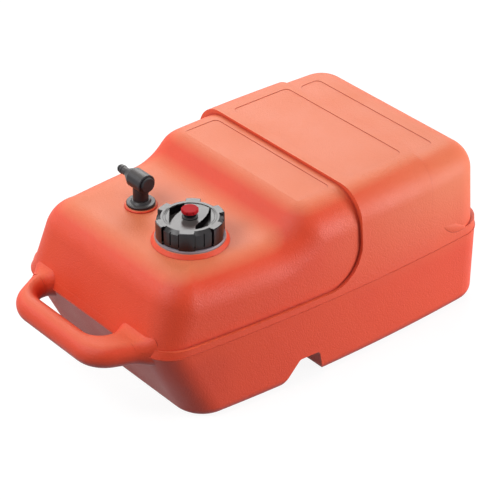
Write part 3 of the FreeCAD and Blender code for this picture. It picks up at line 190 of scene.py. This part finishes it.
def makeRedSkin():
    material, tree, shader = newMaterial("redSkin")
    place = objectPlace(tree)
    where = addNode(tree, "ShaderNodeSeparateXYZ", Vector=place).outputs
    patches = noise(tree, place, redSkin["patchScale"])
    share = spread(tree, patches, *redSkin["patchEdge"], 0.0, 1.0)
    colour = blendColours(tree, share, redSkin["red"], redSkin["warm"])
    # a painted sheen pales the faces that look up, most of all the decks, and also pales the sides high on
    # the rear half
    flat = spread(tree, facingUp(tree), *redSkin["paintedSheenFacing"], 0.0, 1.0)
    high = spread(tree, where["Z"], *redSkin["paintedSheenHeight"], redSkin["paintedSheenLow"], 1.0)
    topSheen = calculated(tree, "MULTIPLY", high, flat)
    rear = spread(tree, where["X"], *redSkin["rearSheenPlace"], 0.0, redSkin["rearSheenShare"])
    raised = spread(tree, where["Z"], *redSkin["rearSheenHeight"], 0.0, 1.0)
    rearSheen = calculated(tree, "MULTIPLY", rear, raised)
    colour = blendColours(tree, calculated(tree, "MAXIMUM", topSheen, rearSheen), colour, redSkin["paintedSheen"])
    # painted shade darkens the undersides and, less, the low front end
    underShade = spread(tree, facingUp(tree), *redSkin["underShadeFacing"], redSkin["underShadeShare"], 0.0)
    front = spread(tree, where["X"], *redSkin["frontShadePlace"], redSkin["frontShadeShare"], 0.0)
    low = spread(tree, where["Z"], *redSkin["frontShadeHeight"], 1.0, 0.0)
    frontLowShade = calculated(tree, "MULTIPLY", front, low)
    colour = blendColours(tree, calculated(tree, "MAXIMUM", underShade, frontLowShade), colour, redSkin["paintedShade"])
    # painted shade darkens the grooves, the step and the foot of the collar, wherever ambient occlusion
    # finds them hidden
    openness = addNode(tree, "ShaderNodeAmbientOcclusion",
                       {"samples": redSkin["creaseShadeSamples"], "only_local": True},
                       Distance=redSkin["creaseShadeReach"]).outputs["AO"]
    creaseShadeMask = spread(tree, openness, *redSkin["creaseShadeOpen"], redSkin["creaseShadeShare"], 0.0)
    colour = blendColours(tree, creaseShadeMask, colour, redSkin["creaseShade"])
    feed(tree, shader.inputs["Base Color"], colour)
    rough = spread(tree, patches, *redSkin["roughEdge"], *redSkin["rough"])
    feed(tree, shader.inputs["Roughness"], rough)
    waves = noise(tree, place, redSkin["waveScale"], 1.0)
    grain = noise(tree, place, redSkin["grainScale"], 2.0)
    relief = bumps(tree, [(waves, *redSkin["waveBump"]), (grain, *redSkin["grainBump"])])
    feed(tree, shader.inputs["Normal"], relief)
    shader.inputs["Specular IOR Level"].default_value = redSkin["gloss"]
    return material


# the black plastic of the cap and of the fittings; a fitting's roughness is shifted up

blackPlastic = {
    "black": (0.004, 0.002, 0.004, 1.0),
    "worn": (0.008, 0.005, 0.008, 1.0),
    "wearScale": 60.0,
    "wearEdge": (0.4, 0.7),
    # the next colour is partly dust and partly painted sheen on the faces that look up
    "dustAndSheen": (0.080, 0.071, 0.067, 1.0),
    "dustAndSheenFacing": (0.75, 1.0),
    "grainScale": 1800.0,
    "grainBump": (0.25, 0.0002),
    "gloss": 0.42,
    "rough": (0.14, 0.24),
    "roughEdge": (0.3, 0.7),
    "fittingShift": 0.22,
}


def makeBlack(name, roughShift):
    material, tree, shader = newMaterial(name)
    place = objectPlace(tree)
    wear = noise(tree, place, blackPlastic["wearScale"], 4.0)
    worn = spread(tree, wear, *blackPlastic["wearEdge"], 0.0, 1.0)
    colour = blendColours(tree, worn, blackPlastic["black"], blackPlastic["worn"])
    # the faces that look up are lighter: partly fine dust, partly a painted sheen
    dustAndSheenShare = spread(tree, facingUp(tree), *blackPlastic["dustAndSheenFacing"], 0.0, 1.0)
    colour = blendColours(tree, dustAndSheenShare, colour, blackPlastic["dustAndSheen"])
    feed(tree, shader.inputs["Base Color"], colour)
    roughLow, roughHigh = blackPlastic["rough"]
    rough = spread(tree, wear, *blackPlastic["roughEdge"], roughLow + roughShift, roughHigh + roughShift)
    feed(tree, shader.inputs["Roughness"], rough)
    grain = noise(tree, place, blackPlastic["grainScale"], 2.0)
    feed(tree, shader.inputs["Normal"], bumps(tree, [(grain, *blackPlastic["grainBump"])]))
    shader.inputs["Specular IOR Level"].default_value = blackPlastic["gloss"]
    return material


# the other finishes: colour, second colour, metallic, gloss, roughness low and high, grain scale and depth

plainFinishes = {
    "redKnob": ((0.44, 0.013, 0.018, 1), (0.50, 0.018, 0.024, 1),
                0.0, 0.05, 0.46, 0.58, 1600.0, 0.0001),
    "greyRing": ((0.235, 0.190, 0.215, 1), (0.290, 0.235, 0.260, 1),
                 0.0, 0.5, 0.42, 0.55, 1500.0, 0.0002),
    "blackRubber": ((0.012, 0.012, 0.012, 1), (0.024, 0.023, 0.022, 1),
                    0.0, 0.5, 0.62, 0.78, 1200.0, 0.0002),
    "springSteel": ((0.46, 0.45, 0.43, 1), (0.58, 0.57, 0.55, 1),
                    1.0, 0.5, 0.22, 0.36, 2200.0, 0.00005),
    "turnedBrass": ((0.62, 0.42, 0.16, 1), (0.72, 0.52, 0.22, 1),
                    1.0, 0.5, 0.22, 0.36, 2200.0, 0.00005),
    "whitePlastic": ((0.66, 0.65, 0.60, 1), (0.74, 0.73, 0.69, 1),
                     0.0, 0.5, 0.38, 0.50, 1500.0, 0.0001),
}

plainPatch = {
    "scale": 90.0,
    "colourEdge": (0.35, 0.65),
    "roughEdge": (0.3, 0.7),
    "grainStrength": 0.3,
}


def makePlain(name):
    first, second, metallic, gloss, roughLow, roughHigh, grainScale, depth = plainFinishes[name]
    material, tree, shader = newMaterial(name)
    place = objectPlace(tree)
    patches = noise(tree, place, plainPatch["scale"])
    share = spread(tree, patches, *plainPatch["colourEdge"], 0.0, 1.0)
    feed(tree, shader.inputs["Base Color"], blendColours(tree, share, first, second))
    rough = spread(tree, patches, *plainPatch["roughEdge"], roughLow, roughHigh)
    feed(tree, shader.inputs["Roughness"], rough)
    grain = noise(tree, place, grainScale, 2.0)
    feed(tree, shader.inputs["Normal"], bumps(tree, [(grain, plainPatch["grainStrength"], depth)]))
    shader.inputs["Metallic"].default_value = metallic
    shader.inputs["Specular IOR Level"].default_value = gloss
    return material


finishes = {
    "red_tank": makeRedSkin(),
    "black_cap": makeBlack("blackCap", 0.0),
    "black_fitting": makeBlack("blackFitting", blackPlastic["fittingShift"]),
    "red_knob": makePlain("redKnob"),
    "grey_ring": makePlain("greyRing"),
    "black_rubber": makePlain("blackRubber"),
    "steel": makePlain("springSteel"),
    "brass": makePlain("turnedBrass"),
    "white_plastic": makePlain("whitePlastic"),
}
print("materials made:", len(finishes))

for piece in nodes.values():
    for materialSlot in piece.material_slots:
        slotName = materialSlot.material.name.split(".")[0]
        materialSlot.material = finishes[slotName]
print("finishes set on", len(nodes), "nodes")


# the filler: its axis, the turn of the cap's pockets in degrees, and the heights of the cap's top faces

filler = {
    "axis": (-0.113, -0.057),
    "pocketTurn": -39.5,
    "rim": 0.2225,
    "dishFloor": 0.2217,
}


def aboutFiller(radius, angle, height):
    axisX, axisY = filler["axis"]
    return np.stack([axisX + radius * np.cos(angle), axisY + radius * np.sin(angle), height], axis=2)


# the screw thread: one ridge on the neck and one in the cap, half a turn apart

fillerThread = {
    "pitch": 0.005,
    "turns": 1.08,
    "foot": 0.2009,
    "rootHalf": 0.0012,
    "crestHalf": 0.0006,
    "sunk": 0.0003,
    "steps": 240,
    "runOut": 1.0 / 12.0,
    "leastEnd": 0.02,
}

neckThread = {"root": 0.0310, "crest": 0.0323, "start": 0.0}
capThread = {"root": 0.0326, "crest": 0.0313, "start": -math.pi}


def threadRidge(name, ridge, body, slotName):
    # height grows with the angle: z = foot + pitch * angle / 2 pi
    # the section is a trapezium, from its sunk root to its crest, that shrinks towards both ends
    along = np.linspace(0.0, 1.0, fillerThread["steps"])[:, None]
    ends = np.minimum(along, 1.0 - along) / fillerThread["runOut"]
    ends = np.clip(ends, fillerThread["leastEnd"], 1.0)
    turned = along * fillerThread["turns"] * 2.0 * math.pi
    outward = math.copysign(1.0, ridge["crest"] - ridge["root"])
    bottom = ridge["root"] - outward * fillerThread["sunk"]
    radius = np.array([bottom, ridge["crest"], ridge["crest"], bottom])[None, :]
    radius = ridge["root"] + (radius - ridge["root"]) * ends
    half = np.array([-fillerThread["rootHalf"], -fillerThread["crestHalf"],
                     fillerThread["crestHalf"], fillerThread["rootHalf"]])[None, :] * outward
    height = fillerThread["foot"] + fillerThread["pitch"] * turned / (2.0 * math.pi) + half * ends
    angle = ridge["start"] + turned + np.zeros_like(half)
    newBar(name, aboutFiller(radius, angle, height), body, slotName)


threadRidge("neckThread", neckThread, "tank", "red_tank")
threadRidge("capThread", capThread, "cap", "black_cap")
print("threads made")


# fine arcs on the flat ends of the cap's top, outside the finger pockets: radius and face they stand on

capArcs = {
    "outer": (0.0318, filler["rim"]),
    "inner": (0.0290, filler["dishFloor"]),
}

arcBead = {
    "chord": 0.0252,
    "halfWidth": 0.00035,
    "rise": 0.0004,
    "steps": 40,
    "ring": 12,
}


def capArc(name, radius, face, startTurn):
    # a half-round bead with its ends sunk into the face: out = halfWidth * cos t, up = rise * sin t
    reach = math.acos(arcBead["chord"] / radius)
    along = np.linspace(-1.0, 1.0, arcBead["steps"])[:, None]
    around = np.linspace(0.0, 2.0 * math.pi, arcBead["ring"], endpoint=False)[None, :]
    ends = np.sqrt(np.clip(1.0 - along ** 8, 0.01, 1.0))
    angle = math.radians(filler["pocketTurn"]) + startTurn + along * reach + np.zeros_like(around)
    out = radius + arcBead["halfWidth"] * np.cos(around) * ends
    height = face + arcBead["rise"] * np.sin(around) * ends
    newBar(name, aboutFiller(out, angle, height), "cap", "black_cap")


for arcName, (arcRadius, arcFace) in capArcs.items():
    capArc(arcName + "ArcFar", arcRadius, arcFace, math.pi)
    capArc(arcName + "ArcNear", arcRadius, arcFace, 0.0)
print("cap arcs made")


# a low crescent pad on each side wall, just above the rear end of the parting bead
# its arc is in x and z, its angles in degrees; wallPlace is a point of the wall

rearPad = {
    "centre": (0.236, 0.149),
    "radius": 0.0356,
    "arc": (212.0, 284.0),
    "steps": 72,
    "wallPlace": (0.200, 0.1591, 0.115),
    "wallAlong": 0.056,
    "wallUp": 0.087,
}

# the pad's section, from its steep lower edge to where it runs out in the wall:
# (along the radius, off the wall)
padSection = ((0.0006, -0.0005), (0.0002, 0.0004), (-0.0005, 0.0008), (-0.0080, 0.0004),
              (-0.0240, -0.0006))


def crescentPad(name, side):
    # the wall leans and draws in: its distance from the middle plane falls
    # by wallAlong per metre of length and by wallUp per metre of height
    along = np.linspace(0.0, 1.0, rearPad["steps"])[:, None]
    start, end = rearPad["arc"]
    angle = np.radians(start + along * (end - start))
    inward, off = (np.array(column)[None, :] for column in zip(*padSection))
    swell = np.sqrt(np.sin(math.pi * np.clip(along, 0.002, 0.998)))
    radius = rearPad["radius"] + inward * swell
    x = rearPad["centre"][0] + radius * np.cos(angle)
    z = rearPad["centre"][1] + radius * np.sin(angle)
    wallX, wallY, wallZ = rearPad["wallPlace"]
    wall = wallY - rearPad["wallAlong"] * (x - wallX) - rearPad["wallUp"] * (z - wallZ)
    y = side * (wall + np.where(off > 0.0, off * swell, off))
    newBar(name, np.stack([x, y, z], axis=2), "tank", "red_tank")


crescentPad("nearPad", -1.0)
crescentPad("farPad", 1.0)
print("rear pads made")


# floor, lamps and camera

studio = {
    "floorReach": 6.0,
    "floorGrey": (0.14, 0.14, 0.14, 1.0),
    "floorFleck": (0.12, 0.12, 0.12, 1.0),
    "floorFibre": 40.0,
    "fleckEdge": (0.3, 0.7),
    "floorRough": 0.9,
    "floorLift": 0.91,
    "worldShade": (0.86, 0.89, 0.94, 1.0),
    "worldStrength": 0.03,
    "white": (1.0, 1.0, 1.0, 1.0),
}


def whiteRays(tree):
    # 1 for the rays that should meet a white studio: from the camera, in gloss and through clear things
    light = addNode(tree, "ShaderNodeLightPath")
    share = light.outputs["Is Camera Ray"]
    for kind in ("Is Glossy Ray", "Is Transmission Ray"):
        share = calculated(tree, "MAXIMUM", share, light.outputs[kind])
    return share


def makeFloor():
    reach = studio["floorReach"]
    mesh = bpy.data.meshes.new("studioFloor")
    corners = [(-reach, -reach, 0), (reach, -reach, 0), (reach, reach, 0), (-reach, reach, 0)]
    mesh.from_pydata(corners, [], [(0, 1, 2, 3)])
    floor = addObject("studioFloor", mesh)
    material, tree, shader = newMaterial("floorPaper")
    fibre = noise(tree, objectPlace(tree), studio["floorFibre"])
    fleck = spread(tree, fibre, *studio["fleckEdge"], 0.0, 1.0)
    feed(tree, shader.inputs["Base Color"],
         blendColours(tree, fleck, studio["floorGrey"], studio["floorFleck"]))
    shader.inputs["Roughness"].default_value = studio["floorRough"]
    # the floor is lifted to white, and its shadows stay
    shader.inputs["Emission Color"].default_value = studio["white"]
    feed(tree, shader.inputs["Emission Strength"],
         calculated(tree, "MULTIPLY", whiteRays(tree), studio["floorLift"]))
    mesh.materials.append(material)


def makeWorld():
    world = bpy.data.worlds.new("studioWorld")
    bpy.context.scene.world = world
    world.use_nodes = True
    tree = world.node_tree
    tree.nodes.clear()
    output = tree.nodes.new("ShaderNodeOutputWorld")
    room = addNode(tree, "ShaderNodeBackground", Color=studio["worldShade"],
                   Strength=studio["worldStrength"])
    white = addNode(tree, "ShaderNodeBackground", Color=studio["white"], Strength=1.0)
    mix = tree.nodes.new("ShaderNodeMixShader")
    tree.links.new(whiteRays(tree), mix.inputs[0])
    tree.links.new(room.outputs[0], mix.inputs[1])
    tree.links.new(white.outputs[0], mix.inputs[2])
    tree.links.new(mix.outputs[0], output.inputs["Surface"])


# each lamp: place, aim, width, height, watts

lamps = {
    "backSoftbox": ((1.34, 1.62, 1.56), (0.0, 0.0, 0.15), 1.9, 1.3, 33.0),
    "topSoftbox": ((-0.3, -0.2, 2.4), (0.0, 0.0, 0.1), 1.4, 1.4, 10.5),
    "leftHighSoftbox": ((-1.7, 0.3, 1.9), (0.0, 0.0, 0.1), 1.2, 1.2, 33.0),
    "leftLowSoftbox": ((-2.3, 0.2, 0.45), (-0.1, 0.0, 0.12), 1.2, 0.7, 3.5),
    "backLeftSoftbox": ((-1.0, 2.1, 1.2), (0.0, 0.0, 0.12), 1.4, 1.0, 14.5),
    "rightLowSoftbox": ((1.6, -1.95, 0.42), (0.05, 0.0, 0.1), 1.3, 0.7, 52.0),
    "rightBackSoftbox": ((2.3, -1.25, 0.42), (0.1, 0.0, 0.12), 1.2, 0.7, 5.0),
}


def makeLamp(name):
    place, aim, width, height, watts = lamps[name]
    lamp = bpy.data.lights.new(name, "AREA")
    lamp.shape = "RECTANGLE"
    lamp.size = width
    lamp.size_y = height
    lamp.energy = watts
    holder = addObject(name, lamp)
    holder.location = place
    holder.rotation_euler = (Vector(aim) - Vector(place)).to_track_quat("-Z", "Y").to_euler()


# the camera: turn and rise in degrees about its aim, lens and sensor in millimetres

eye = {
    "aim": (0.0443, 0.0233, 0.0734),
    "distance": 2.880,
    "turn": -39.527,
    "rise": 32.197,
    "lens": 164.0,
    "sensor": 36.0,
}


def makeCamera():
    turn, rise = math.radians(eye["turn"]), math.radians(eye["rise"])
    back = Vector((math.sin(turn) * math.cos(rise), -math.cos(turn) * math.cos(rise), math.sin(rise)))
    lens = bpy.data.cameras.new("eye")
    lens.lens = eye["lens"]
    lens.sensor_width = eye["sensor"]
    camera = addObject("eye", lens)
    camera.location = Vector(eye["aim"]) + back * eye["distance"]
    camera.rotation_euler = (-back).to_track_quat("-Z", "Y").to_euler()
    bpy.context.scene.camera = camera


makeFloor()
makeWorld()
for lampName in lamps:
    makeLamp(lampName)
makeCamera()
bpy.context.scene.view_settings.view_transform = "Standard"
print("floor, lamps and camera set")
